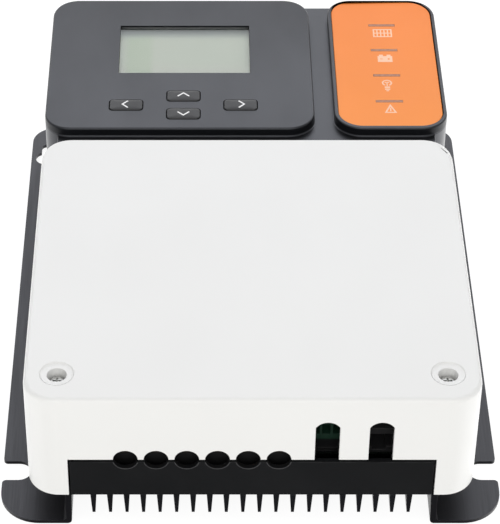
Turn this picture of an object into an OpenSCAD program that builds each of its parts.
// Wall-mounted solar charge controller, lying on its back.
// Origin: centre of the footprint on the wall plane. +Z points away from the wall,
// +Y towards the display end (back), -Y towards the cable end (front). Millimetres.

/* [Body] */
// Width across the two mounting flanges
flange_width = 236; // [232:1:244]
// Width of the casing
body_width = 207.6; // [206:0.2:209]
// Length of the casing
body_length = 320; // [319:0.5:321]
// Height of the casing's underside above the wall plane
body_bottom = 18.8; // [18:0.1:19]
// Height of the white cover's top above the wall plane
body_top = 78.8; // [78.4:0.1:79.4]
// Radius of the terminal cover's upright corners
corner_radius = 15; // [12:0.5:18]
// Wall thickness of the plastic casing parts
wall = 2.5; // [2:0.1:2.6]
// Y of the split between the terminal cover and the head housing
split_y = 33.1; // [31:0.1:34]

/* [Heat sink] */
// Length of the mounting flanges
flange_length = 306.2; // [300:0.1:307]
// Thickness of the mounting flanges
flange_thickness = 1.8; // [1.5:0.1:2.5]
// Thickness of the base plate
base_thickness = 5; // [4.6:0.1:5]
// Number of fins
fin_count = 20; // [14:1:22]
// Pitch of the fins
fin_pitch = 7.7; // [7:0.1:7.7]
// Height of the fin tips above the wall plane
fin_tip_z = 7.5; // [4:0.5:10]
// Width of a fin at its tip
fin_tip_width = 1.4; // [1:0.1:2]
// Draft of each fin face in degrees
fin_draft = 3.6; // [1:0.2:4]

/* [Wall fixings] */
// Y of the two open slots at the cable end
slot_y = -127.2; // [-132:0.5:-120]
// Width of the open slots
slot_width = 12.5; // [8:0.5:13]
// Distance of the fixing lines from the centre
fixing_x = 110; // [108:0.5:111]
// Y of the round entries of the keyholes
keyhole_y = 118.3; // [110:0.5:122]
// Radius of the round entries
keyhole_radius = 5.6; // [5:0.1:6]
// Radius of the narrow ends of the keyholes
keyhole_neck_radius = 2.6; // [2.2:0.1:3]
// Length from entry centre to neck centre
keyhole_travel = 9.5; // [8:0.5:11]

/* [Cable entries] */
// Number of power cable holes
cable_count = 6; // [4:1:6]
// Pitch of the power cable holes
cable_pitch = 14.04; // [13.8:0.1:14.4]
// X of the first power cable hole
cable_first_x = -57.9; // [-59:0.1:-57]
// Radius of the power cable holes
cable_radius = 5.65; // [5:0.05:6]
// Height of the cable holes above the wall plane
cable_z = 41.5; // [41.2:0.1:42]
// Half width of the dark cable panel's opening
panel_half_width = 84.4; // [83.8:0.1:84.6]

/* [Controls] */
// Travel of the push buttons
button_stroke = 0.8; // [0.3:0.1:0.8]
// Width of a push button
button_width = 17.2; // [15:0.1:17.4]
// Length of a push button
button_length = 9.1; // [8:0.1:9.3]
// Height of the display and indicator islands
island_height = 5; // [4.6:0.1:5.2]

/* [Hidden] */
$fn = 96;
overlap = 0.02; // joins solids that would only touch
gap = 0.05;     // clearance between seated parts

// Both ends of a range, from its middle and half its size
function span(middle, half) = [middle - half, middle + half];
// Points at the given Y values on both sides of the centre line
function side_points(x, y_values) = [for (side = [-1, 1], y = y_values) [side * x, y]];

// Casing
half_width = body_width / 2;
y_front = -body_length / 2;
y_back = body_length / 2;
deck_z = body_top - island_height;
// The head is a little wider than the cover; the islands stand flush with its sides
head_half_width = half_width + 0.2;
head_radius = 14;
head_radii = [13, head_radius, head_radius, head_radius];
island_y = [42.75, y_back - 0.1];

// Heat sink
base_half_width = half_width - wall - 0.7;
base_top = body_bottom + base_thickness;
base_y = [y_front + 2.9, y_back - wall - 0.6];
sink_length = base_y[1] - y_front;

// Circuit boards
board_thickness = 1.6;
board_z = 34;
board_top = board_z + board_thickness;
display_z = 66.4;
display_top = display_z + board_thickness;

// Screw and post places
panel_screw_points = side_points(70, [y_front + 9.5]);
housing_points = side_points(93.5, [50, 140]);
support_points = side_points(74, [-112, 20, 142]);
cover_screw_x = 88.6;
cover_screw_y = -142.2;
cover_points = side_points(cover_screw_x, [cover_screw_y]);
cover_post_top = 58;
display_posts = [for (x = [-83, 24], y = [50.5, 146]) [x, y]];
indicator_posts = [for (y = [52.5, 148]) [84, y]];
small_board_posts = concat(display_posts, indicator_posts);

// Transistors, with the clamp screws midway between them
transistor_x = 70;
transistor_points = side_points(transistor_x, [50, 74, 98, 122]);
clamp_points = side_points(transistor_x, [62, 86, 110]);

// Controls
lcd = [-32.15, 113.9];
lcd_half_window = [69.7 / 2, 44 / 2];
button_points = [[-62.3, 63], [-2.8, 63], [-32.5, 71], [-32.5, 55.4]];
led_points = [for (y = [137.1, 113.6, 90.4, 67.2]) [74.8, y]];

// Cable end
cable_x = [for (i = [0 : cable_count - 1]) cable_first_x + i * cable_pitch];
remote_x = 34.1;
socket_x = 58.6;

// ---------- helpers ----------
module at_each(points, z = 0)
  for (point = points) translate([point.x, point.y, z]) children();

// Box between two limits on each axis
module box(x, y, z)
  translate([x[0], y[0], z[0]]) cube([x[1] - x[0], y[1] - y[0], z[1] - z[0]]);

// Box about a centre in plan, given half its width and length
module block(centre, half, z) box(span(centre.x, half.x), span(centre.y, half.y), z);

// Upright cylinder on the Z axis
module rod(radius, z, height) translate([0, 0, z]) cylinder(r = radius, h = height);

module rounded_block(width, length, height, radius, z)
  translate([0, 0, z]) linear_extrude(height) {
    square([width - 2 * radius, length], center = true);
    square([width, length - 2 * radius], center = true);
    for (x = [-1, 1], y = [-1, 1])
      translate([x * (width / 2 - radius), y * (length / 2 - radius)]) circle(radius);
  }

// Rounded block on the centre line, between two Y limits
module centred_block(width, y, height, radius, z)
  translate([0, (y[0] + y[1]) / 2, 0]) rounded_block(width, y[1] - y[0], height, radius, z);

// Plate outline with its own radius at each corner, counted from front left anticlockwise
module plate_outline(x, y, radii) {
  // for each corner: index into x, index into y
  corners = [[0, 0], [1, 0], [1, 1], [0, 1]];
  difference() {
    translate([x[0], y[0]]) square([x[1] - x[0], y[1] - y[0]]);
    for (i = [0 : 3]) {
      corner = corners[i];
      radius = radii[i];
      translate([x[corner.x], y[corner.y]]) difference() {
        translate([corner.x == 0 ? -1 : -radius, corner.y == 0 ? -1 : -radius])
          square([radius + 1, radius + 1]);
        translate([corner.x == 0 ? radius : -radius, corner.y == 0 ? radius : -radius])
          circle(radius);
      }
    }
  }
}

// The same outline moved inwards and extruded
module slab(x, y, radii, inset, height, z)
  translate([0, 0, z]) linear_extrude(height)
    plate_outline([x[0] + inset, x[1] - inset], [y[0] + inset, y[1] - inset],
                  [for (radius = radii) radius - inset]);

// Cross recess made of two crossed slots
module cross_recess(width, slot, depth)
  for (angle = [0, 90]) rotate([0, 0, angle])
    translate([-width / 2, -slot / 2, -depth]) cube([width, slot, depth + 1]);

// Screw pointing down, with the underside of its head at z = 0
module pan_head_screw(shank_radius, length, head_radius, head_height, recess) difference() {
  union() {
    rod(shank_radius, -length, length + overlap);
    cylinder(r = head_radius, h = head_height * 0.55);
    translate([0, 0, head_height * 0.55 - overlap])
      cylinder(r1 = head_radius, r2 = head_radius * 0.72, h = head_height * 0.45 + overlap);
  }
  translate([0, 0, head_height]) cross_recess(recess, recess * 0.22, head_height * 0.6);
}

// ---------- heat sink ----------
leg_x = 85;
leg_thickness = 2.6;
leg_inner_x = leg_x - leg_thickness / 2;
leg_outer_x = leg_x + leg_thickness / 2;
fin_root_z = base_top - 1; // fins and legs run this far into the base plate
tap_depth = 4.4;
front_flange_radius = 19;
back_flange_radius = 12.4;
slot_mouth_radius = 2;

module sink_extrusion()
  translate([0, base_y[1], 0]) rotate([90, 0, 0]) linear_extrude(sink_length) children();

module fin_profile() {
  tip = fin_tip_width / 2;
  root = tip + (fin_root_z - fin_tip_z) * tan(fin_draft);
  polygon([[-tip, fin_tip_z], [tip, fin_tip_z], [root, fin_root_z], [-root, fin_root_z]]);
}

// Right-hand leg with its outward flange, as the extrusion's end profile
module leg_profile() {
  fillet = 1.2;
  heel_radius = 2;
  difference() {
    polygon([
      [leg_inner_x, 0], [flange_width / 2, 0], [flange_width / 2, flange_thickness],
      [leg_outer_x + fillet, flange_thickness], [leg_outer_x, flange_thickness + fillet],
      [leg_outer_x, fin_root_z], [leg_inner_x - 0.6, fin_root_z]
    ]);
    difference() {
      translate([leg_inner_x - 1, -1]) square([3, 3]);
      translate([leg_inner_x + heel_radius, heel_radius]) circle(heel_radius);
    }
  }
}

// Space in front of the base plate that fins and legs must not reach into
module front_trim()
  box([-half_width, half_width], [y_front - 1, base_y[0] + overlap],
      [body_bottom - 0.05, base_top + 1]);

// Cutter that rounds a flange corner on the +X side; y_side is the corner's side in Y
module corner_cut(radius, size, y_side) difference() {
  translate([0, y_side > 0 ? 0 : -size, 0]) cube([size, size, 4]);
  rod(radius, -1, 6);
}

module open_slot() {
  translate([fixing_x + 0.5, slot_y, -1]) {
    cylinder(r = slot_width / 2, h = 5);
    translate([0, -slot_width / 2, 0]) cube([20, slot_width, 5]);
  }
  // rounded mouth
  for (side = [-1, 1])
    translate([flange_width / 2 - slot_mouth_radius,
               slot_y + side * (slot_width / 2 + slot_mouth_radius), -1])
      corner_cut(slot_mouth_radius, 3, -side);
}

module keyhole() translate([fixing_x, keyhole_y, -1]) {
  cylinder(r = keyhole_radius, h = 5);
  translate([0, keyhole_travel, 0]) cylinder(r = keyhole_neck_radius, h = 5);
  translate([-keyhole_neck_radius, 0, 0])
    cube([2 * keyhole_neck_radius, keyhole_travel, 5]);
}

// Right-hand leg and flange
module leg() difference() {
  sink_extrusion() leg_profile();
  // the flange stops short of the display end
  translate([leg_outer_x, flange_back_y(), -1]) cube([40, 20, flange_thickness + 1 + 1.3]);
  front_trim();
  // rounded flange corners: large at the cable end, smaller at the display end
  translate([flange_width / 2 - front_flange_radius, y_front + front_flange_radius, -1])
    corner_cut(front_flange_radius, 20, -1);
  translate([flange_width / 2 - back_flange_radius, flange_back_y() - back_flange_radius, -1])
    corner_cut(back_flange_radius, 14, 1);
  open_slot();
  keyhole();
}
function flange_back_y() = y_front + flange_length;

module heat_sink() color([0.16, 0.16, 0.17]) difference() {
  union() {
    centred_block(2 * base_half_width, base_y, base_thickness, radius = 12.4, z = body_bottom);
    difference() {
      for (i = [0 : fin_count - 1])
        translate([(i - (fin_count - 1) / 2) * fin_pitch, 0, 0]) sink_extrusion() fin_profile();
      front_trim();
    }
    leg();
    mirror([1, 0, 0]) leg();
  }
  // tapped holes in the base plate
  at_each(concat(support_points, panel_screw_points, clamp_points), base_top - tap_depth)
    cylinder(r = 1.5, h = 6);
  at_each(cover_points, base_top - tap_depth) cylinder(r = 2.6, h = 6);
  // through holes for the housing screws
  at_each(housing_points, body_bottom - 1) cylinder(r = 2.2, h = 8);
}

// ---------- front cable panel ----------
module cable_holes(depth)
  for (x = cable_x)
    translate([x, y_front - 1, cable_z]) rotate([-90, 0, 0]) cylinder(r = cable_radius, h = depth);

// Upright panel with a foot that lies on the base plate
module front_cable_panel() color([0.11, 0.11, 0.12]) difference() {
  x = span(0, panel_half_width - 0.9);
  union() {
    box(x, [y_front + 0.1, y_front + 2.6], [body_bottom + 0.1, cable_z - 1.5]);
    box(x, [y_front + 2.6 - overlap, y_front + 13.6], [base_top + gap, base_top + gap + 2]);
  }
  cable_holes(6);
  at_each(panel_screw_points, base_top - 1) cylinder(r = 1.7, h = 6);
}

module panel_screws() color("silver")
  at_each(panel_screw_points, base_top + 2.1)
    pan_head_screw(shank_radius = 1.4, length = 5.6, head_radius = 2.7, head_height = 2,
                   recess = 2.6);

// ---------- head housing ----------
neck_half_width = 97;

// Room for the base plate under a casing wall
module base_passage(y)
  box(span(0, base_half_width + 0.4), y, [body_bottom - 1, base_top + 0.15]);

// Room for the circuit board and bus bars under a casing wall
module board_passage(y) box([-86, 86], y, [base_top, 52]);

module head_housing() color([0.13, 0.13, 0.14]) {
  neck_y = split_y + 0.3;
  head_x = [-head_half_width, head_half_width];
  head_y = [island_y[0], y_back];
  deck_cut = [deck_z - 4, deck_z + 1];
  difference() {
    union() {
      slab(head_x, head_y, head_radii, 0, deck_z - body_bottom, body_bottom);
      // narrower neck that meets the terminal cover
      box(span(0, neck_half_width), [neck_y, island_y[0] + 20], [body_bottom, deck_z]);
    }
    slab(head_x, head_y, head_radii, wall, deck_z - wall - body_bottom + 1, body_bottom - 1);
    box(span(0, neck_half_width - wall), [neck_y + wall, island_y[0] + 21],
        [body_bottom - 1, deck_z - wall]);
    base_passage([neck_y - 1, island_y[0] + 20]);
    board_passage([neck_y - 1, neck_y + wall + 1]);
    // openings for the display, its buttons and the light pipes
    block(lcd, [41, 27], deck_cut);
    for (point = button_points) block(point, [5, 4.2], deck_cut);
    for (point = led_points) block(point, [7.5, 1.9], deck_cut);
  }
  // hanging posts for the two small boards
  at_each(small_board_posts) difference() {
    rod(3.2, display_top + gap, deck_z - wall - display_top);
    rod(1.3, display_top - 1, 4.2);
  }
  // corner posts that take the screws from the heat sink
  at_each(housing_points) difference() {
    rod(4.5, base_top + 0.1, deck_z - wall - base_top);
    rod(1.7, base_top - 1, 17);
  }
}

module housing_screws() color("silver")
  at_each(housing_points, body_bottom - gap) mirror([0, 0, 1])
    pan_head_screw(shank_radius = 1.6, length = 16, head_radius = 3.4, head_height = 2.4,
                   recess = 3.2);

// ---------- display island ----------
display_island_x = [-head_half_width, 35.4];
lens_bottom = body_top - 3.6;
lens_step = body_top - 2.6;
glass_top = body_top - 3.7;
glass_bottom = body_top - 5.6;
switch_top = display_top + 3.4;
button_bottom = body_top - 4;
small_board_y = [46, 152];
small_board_colour = [0.05, 0.35, 0.15];

module display_bezel() color([0.38, 0.38, 0.40]) difference() {
  slab(display_island_x, island_y, head_radii, 0, island_height - gap, deck_z + gap);
  slab(display_island_x, island_y, head_radii, wall, 3.5, deck_z - 1);
  block(lcd, lcd_half_window, [deck_z, body_top + 1]);
  at_each(button_points)
    rounded_block(button_width + 0.8, button_length + 0.8, height = 6, radius = 2.4, z = deck_z);
}

// Stepped window: the raised middle fits the opening, the flange lies under the bezel's top
module display_lens() color([0.7, 0.75, 0.7, 0.4]) {
  block(lcd, [37, 24], [lens_bottom, lens_step]);
  block(lcd, lcd_half_window - [0.1, 0.1], [lens_step - overlap, body_top - 1.4]);
}

module lcd_glass() color([0.72, 0.75, 0.70])
  block(lcd, [36, 23.5], [glass_bottom, glass_top]);

// Tray that holds the glass
module lcd_backlight() color("white") difference() {
  block(lcd, [38, 25], [display_top + 0.1, glass_top - gap]);
  block(lcd, [36.2, 23.7], [glass_bottom - 0.1, body_top]);
}

module small_board(x, posts) color(small_board_colour) difference() {
  box(x, small_board_y, [display_z, display_top]);
  at_each(posts, display_z - 1) cylinder(r = 1.4, h = 4);
}
module display_board() { small_board([-88, 30], display_posts); }

// Screws of both the display board and the indicator board
module display_board_screws() color("silver")
  at_each(small_board_posts, display_z - gap) mirror([0, 0, 1])
    pan_head_screw(shank_radius = 1.2, length = 4.4, head_radius = 2.4, head_height = 1.7,
                   recess = 2.4);

module tact_switches() color([0.2, 0.2, 0.2]) for (point = button_points) {
  block(point, [3, 3], [display_top + gap, switch_top]);
  translate([point.x, point.y, switch_top - overlap]) cylinder(r = 1.6, h = 0.8 + overlap);
}

// Push button cap: rounded key, retaining flange and stem
module button_cap(point) color([0.36, 0.36, 0.38]) translate([point.x, point.y, 0]) {
  stem_bottom = switch_top + 0.9 + button_stroke;
  rounded_block(button_width, button_length, height = 4.4, radius = 2, z = button_bottom);
  translate([0, 0, button_bottom - 0.05]) linear_extrude(1.25)
    square([button_width + 2.2, button_length + 2.2], center = true);
  rod(2, stem_bottom, button_bottom - stem_bottom);
}
module button_left() { button_cap(button_points[0]); }
module button_right() { button_cap(button_points[1]); }
module button_up() { button_cap(button_points[2]); }
module button_down() { button_cap(button_points[3]); }

// ---------- indicator island ----------
indicator_island_x = [46.3, head_half_width];
indicator_radii = [head_radius, head_radius, head_radius, 12.5];
indicator_panel_x = [47.85, head_half_width - 1.9];
indicator_panel_y = [45.35, y_back - 1.1];
indicator_panel_radii = [12.4, 12.4, 12.4, 11];

// Slab that follows the orange panel's outline
module panel_slab(inset, height, z)
  slab(indicator_panel_x, indicator_panel_y, indicator_panel_radii, inset, height, z);

module indicator_frame() color([0.33, 0.33, 0.35]) difference() {
  slab(indicator_island_x, island_y, indicator_radii, 0, island_height - gap, deck_z + gap);
  panel_slab(inset = -0.15, height = 6, z = deck_z + 1.7);
  panel_slab(inset = 3, height = 6, z = deck_z - 1);
}

module indicator_panel() color([1.0, 0.60, 0.33]) difference() {
  panel_slab(inset = 0, height = 2.7, z = body_top - 3.2);
  for (point = led_points) block(point, [7.1, 1.1], [body_top - 4, body_top]);
}

// Bars with a wider collar under the orange panel
module light_pipes() color([0.85, 0.85, 0.82]) for (point = led_points) {
  block(point, [7, 1], [deck_z - 4.2, body_top - 0.5]);
  block(point, [8.8, 1], [body_top - 4.6, body_top - 3.3]);
}

module status_leds() color([0.9, 0.9, 0.6])
  for (point = led_points) block(point, [1.8, 1.4], [display_top + gap, display_top + 1.4]);

module indicator_board() { small_board([58, 88.5], indicator_posts); }

// ---------- terminal cover ----------
well_bottom = 71.2;

// Slot with an arched top, flattened at its sides
module comm_slot() {
  slot_top = cable_z + 23.4;
  arch_radius = 6.3;
  intersection() {
    box([-5.55, 5.55], [-1, 8], [cable_z - 1, slot_top]);
    translate([0, -1, slot_top - arch_radius]) rotate([-90, 0, 0]) union() {
      cylinder(r = arch_radius, h = 9);
      translate([-7, 0, 0]) cube([14, 30, 9]);
    }
  }
}

// Room for a cover screw's head
module screw_well() rod(4.5, well_bottom, 20);

module terminal_cover() color([0.93, 0.93, 0.92]) {
  roof_z = body_top - wall;
  difference() {
    centred_block(body_width, [y_front, split_y], body_top - body_bottom, corner_radius,
                  body_bottom);
    centred_block(body_width - 2 * wall, [y_front + wall, split_y - wall],
                  roof_z - body_bottom + 1, corner_radius - wall, body_bottom - 1);
    base_passage([0, split_y + 1]);
    // cable panel opening
    box(span(0, panel_half_width), [y_front - 1, y_front + wall + 2], [body_bottom - 1, cable_z]);
    cable_holes(wall + 2);
    for (x = [remote_x, socket_x]) translate([x, y_front, 0]) comm_slot();
    board_passage([split_y - wall - 1, split_y + 1]);
    at_each(cover_points) {
      screw_well();
      translate([0, 0, body_top - 0.8]) cylinder(r1 = 6.2, r2 = 9.2, h = 0.8 + overlap);
    }
  }
  // screw pillars, with a ledge between the well and the wider bore below
  at_each(cover_points) difference() {
    rod(7, cover_post_top + 0.2, roof_z - cover_post_top - 0.2 + 0.5);
    screw_well();
    rod(2.25, cover_post_top - 1, 20);
    rod(4, cover_post_top - 1, 69 - cover_post_top + 1);
  }
  // stiffening ribs under the roof
  for (x = [-45, 0, 45])
    box(span(x, 0.8), [-118, split_y - wall + overlap], [roof_z - 4, roof_z + overlap]);
}

// Hexagonal posts with a round spigot in the base plate
module cover_posts() color("silver") at_each(cover_points) difference() {
  union() {
    rod(5.5, base_top + gap, cover_post_top - base_top - gap, $fn = 6);
    rod(2.5, base_top - 4, 5);
  }
  rod(2.05, cover_post_top - 12, 20);
}

module cover_screw(side) color("silver")
  translate([side * cover_screw_x, cover_screw_y, well_bottom + 0.1])
    pan_head_screw(shank_radius = 1.95, length = 16.8, head_radius = 3.9, head_height = 3,
                   recess = 4.2);
module cover_screw_left() { cover_screw(-1); }
module cover_screw_right() { cover_screw(1); }

// Nylon ring under the cover's ledge that keeps the screw captive
module cover_washer(side) color([0.9, 0.9, 0.85])
  translate([side * cover_screw_x, cover_screw_y, 64.6]) difference() {
    cylinder(r = 3.6, h = 0.8);
    rod(2.03, -1, 3);
  }
module cover_washer_left() { cover_washer(-1); }
module cover_washer_right() { cover_washer(1); }

// ---------- circuit board ----------
module main_board() color([0.05, 0.32, 0.14]) difference() {
  box([-82, 82], [-148.5, 152], [board_z, board_top]);
  at_each(support_points, board_z - 1) cylinder(r = 1.8, h = 4);
}

module board_spacers() color([0.85, 0.7, 0.35]) at_each(support_points) difference() {
  rod(3.4, base_top + gap, board_z - base_top - 2 * gap, $fn = 6);
  rod(1.7, base_top - 1, 20);
}

module board_screws() color("silver")
  at_each(support_points, board_top + gap)
    pan_head_screw(shank_radius = 1.4, length = 15.6, head_radius = 3, head_height = 2.2,
                   recess = 3);

// ---------- power terminals ----------
terminal_y = [-150, -128];
terminal_x = [cable_x[0] - 8.6, cable_x[cable_count - 1] + 8.6];
terminal_screw_y = -140;
bus_bar_z = [36.5, 37.7];

module terminal_housing() color([0.10, 0.10, 0.11]) difference() {
  union() {
    box(terminal_x, terminal_y, [board_top + gap, 57.5]);
    // skirt in front of the board's edge
    box(terminal_x, [terminal_y[0], terminal_y[0] + 1.2], [base_top + 2.3, board_top + 0.1]);
  }
  for (x = cable_x) {
    // chamber for the metal body, screw access and bus bar outlet
    box(span(x, 5.5), [terminal_y[0] - 1, terminal_y[1] - 3], [36.3, 48.8]);
    translate([x, terminal_screw_y, 48]) cylinder(r = 4.9, h = 12);
    box(span(x, 3), [terminal_y[1] - 4, terminal_y[1] + 1], [36.3, 39.6]);
  }
}

module terminal_bodies() color([0.80, 0.66, 0.35]) for (x = cable_x) difference() {
  box(span(x, 5.3), [-147.5, terminal_y[1] - 3.2], [bus_bar_z[0], 48.6]);
  // wire chamber, then screw hole
  box(span(x, 4.2), [-149, -132.6], [37.9, 45.2]);
  translate([x, terminal_screw_y, 40]) cylinder(r = 2.6, h = 10);
}

module terminal_screw(i) color("silver")
  translate([cable_x[i], terminal_screw_y, 51.6]) difference() {
    union() {
      rod(2.5, -7, 7 + overlap);
      cylinder(r = 4.4, h = 2.4);
      translate([0, 0, 2.4 - overlap]) cylinder(r1 = 4.4, r2 = 3.7, h = 0.7);
    }
    translate([0, 0, 3.1]) cross_recess(width = 5, slot = 1.1, depth = 2);
  }
module terminal_screw_1() { terminal_screw(0); }
module terminal_screw_2() { terminal_screw(1); }
module terminal_screw_3() { terminal_screw(2); }
module terminal_screw_4() { terminal_screw(3); }
module terminal_screw_5() { terminal_screw(4); }
module terminal_screw_6() { terminal_screw(5); }

// Pad under the screw's end that bears on the wire
module wire_pad(i) color([0.75, 0.6, 0.3])
  box(span(cable_x[i], 3.9), [-145.5, -134], [43.2, 44.5]);
module wire_pad_1() { wire_pad(0); }
module wire_pad_2() { wire_pad(1); }
module wire_pad_3() { wire_pad(2); }
module wire_pad_4() { wire_pad(3); }
module wire_pad_5() { wire_pad(4); }
module wire_pad_6() { wire_pad(5); }

// Copper strips from the terminals, alternately long and short, turned down at the end
module bus_bars() color([0.75, 0.45, 0.25]) for (i = [0 : cable_count - 1]) {
  x = span(cable_x[i], 2.8);
  end_y = terminal_y[1] + (i % 2 == 0 ? 44 : 26);
  box(x, [terminal_y[1] - 3.1, end_y], bus_bar_z);
  box(x, [end_y - 1.5, end_y], [board_top + gap, bus_bar_z[0] + overlap]);
}

// Two half-round arches on straight legs
module current_shunt() color([0.6, 0.45, 0.35]) {
  arch_y = -70;
  arch_z = 42;
  width = 5;
  for (x = [-30, 2]) {
    difference() {
      translate([x, arch_y, arch_z]) rotate([0, 90, 0]) cylinder(r = 6.5, h = width);
      translate([x - 1, arch_y, arch_z]) rotate([0, 90, 0]) cylinder(r = 5, h = width + 2);
      box([x - 1, x + width + 1], span(arch_y, 10), [30, arch_z]);
    }
    for (y = [-76.5, -65])
      box([x, x + width], [y, y + 1.5], [board_top + gap, arch_z + overlap]);
  }
}

// Green plug-in terminal for the remote sense wires
module remote_terminal() color([0.1, 0.55, 0.25]) difference() {
  box(span(remote_x, 7.6), [-149, -136], [board_top + gap, 57]);
  for (i = [-1, 0, 1]) {
    x = remote_x + i * 5;
    box(span(x, 1.9), [-150, -140], [47.5, 53.5]);
    translate([x, -143, 50]) cylinder(r = 1.7, h = 10);
  }
  box(span(remote_x, 6.6), [-150, -147.4], [37, 44.8]);
}

// Eight-way communication socket
module comm_socket() color([0.12, 0.12, 0.13]) difference() {
  box(span(socket_x, 8), [-149, -131], [board_top + gap, 51]);
  box(span(socket_x, 6), [-150, -137], [39.6, 47.4]);
  box(span(socket_x, 3.2), [-150, -137], [37.6, 40]);
}

// ---------- power stage ----------
coil_points = [[-44, -30], [14, -30]];
coil_z = 47;
coil_radius = 17.5;
clamp_z = base_top + 5.25;
clamp_thickness = 1.5;

module coil_cores() color([0.75, 0.7, 0.3])
  at_each(coil_points, coil_z) rotate_extrude() translate([coil_radius, 0]) circle(7);

// Separate wire rings around each core
module coil_windings() color([0.75, 0.38, 0.15])
  at_each(coil_points, coil_z)
    for (angle = [0 : 18 : 341])
      rotate([0, 0, angle]) translate([coil_radius, 0, 0]) rotate([90, 0, 0])
        rotate_extrude($fn = 48) translate([8, 0]) circle(0.8, $fn = 24);

module bulk_capacitors() color([0.12, 0.14, 0.25])
  at_each([for (y = [-98 : 24 : -2]) [60, y]]) {
    rod(10, board_top + 0.1, 30);
    rod(9.3, board_top + 30, 1);
  }

// Flat packages; three leads each run towards the centre line, then up to the board
module power_transistors() color([0.09, 0.09, 0.09]) {
  half_package = 10.5;
  lead_reach = 14;
  lead = 0.6;
  lead_z = base_top + 2.2;
  for (point = transistor_points) {
    right = point.x > 0;
    block(point, [half_package, 8], [base_top + 0.4, base_top + 5.2]);
    for (i = [-1, 0, 1]) {
      y = span(point.y + i * 5.4, 0.6);
      flat_x = right ? point.x - lead_reach : point.x + half_package - overlap;
      box([flat_x, flat_x + lead_reach - half_package + overlap], y, [lead_z, lead_z + lead]);
      upright_x = right ? point.x - lead_reach : point.x + lead_reach - lead;
      box([upright_x, upright_x + lead], y, [lead_z, board_z - 0.1]);
    }
  }
}

module insulating_pads() color([0.75, 0.75, 0.78]) for (side = [-1, 1]) difference() {
  box(span(side * transistor_x, 12), [40, 132], [base_top + 0.03, base_top + 0.38]);
  at_each(clamp_points, base_top - 1) cylinder(r = 1.8, h = 3);
}

module transistor_clamps() color([0.6, 0.6, 0.62]) for (side = [-1, 1]) difference() {
  box(span(side * transistor_x, 4), [43, 129], [clamp_z, clamp_z + clamp_thickness]);
  at_each(clamp_points, base_top - 1) cylinder(r = 1.7, h = 12);
}

module clamp_screws() color("silver")
  at_each(clamp_points, clamp_z + clamp_thickness + gap)
    pan_head_screw(shank_radius = 1.4, length = 10, head_radius = 2.7, head_height = 2,
                   recess = 2.6);

// Each fuse stands just clear of its holder
module blade_fuses() color([0.85, 0.6, 0.15]) for (x = [-72, 30]) {
  box(span(x, 4.5), [-100, -78], [board_top + gap, 40]);
  box(span(x, 2.4), [-98.5, -79.5], [40 + gap, 50]);
}

// Two flat chips
module microcontroller() color([0.07, 0.07, 0.07]) {
  z = [board_top + 0.1, board_top + 1.7];
  box([-12, 2], [66, 80], z);
  box([-42, -34], [60, 66], z);
}

// Flat cable from the main board up to the display board
module ribbon_cable() color([0.8, 0.8, 0.8])
  translate([-18, 0, 0]) rotate([90, 0, 90]) linear_extrude(20)
    // columns: y, z
    polygon([
      [128, board_top + gap], [128.8, board_top + gap], [128.8, 46], [133, 52], [133, 56],
      [128.8, 61], [128.8, display_z - gap], [128, display_z - gap], [128, 60.7],
      [132.2, 55.7], [132.2, 52.3], [128, 46.3]
    ]);

heat_sink();
front_cable_panel();
panel_screws();
head_housing();
housing_screws();
display_bezel();
display_lens();
lcd_glass();
lcd_backlight();
display_board();
display_board_screws();
tact_switches();
button_left();
button_right();
button_up();
button_down();
indicator_frame();
indicator_panel();
light_pipes();
status_leds();
indicator_board();
terminal_cover();
cover_posts();
cover_screw_left();
cover_screw_right();
cover_washer_left();
cover_washer_right();
main_board();
board_spacers();
board_screws();
terminal_housing();
terminal_bodies();
terminal_screw_1();
terminal_screw_2();
terminal_screw_3();
terminal_screw_4();
terminal_screw_5();
terminal_screw_6();
wire_pad_1();
wire_pad_2();
wire_pad_3();
wire_pad_4();
wire_pad_5();
wire_pad_6();
bus_bars();
current_shunt();
remote_terminal();
comm_socket();
coil_cores();
coil_windings();
bulk_capacitors();
power_transistors();
insulating_pads();
transistor_clamps();
clamp_screws();
blade_fuses();
microcontroller();
ribbon_cable();
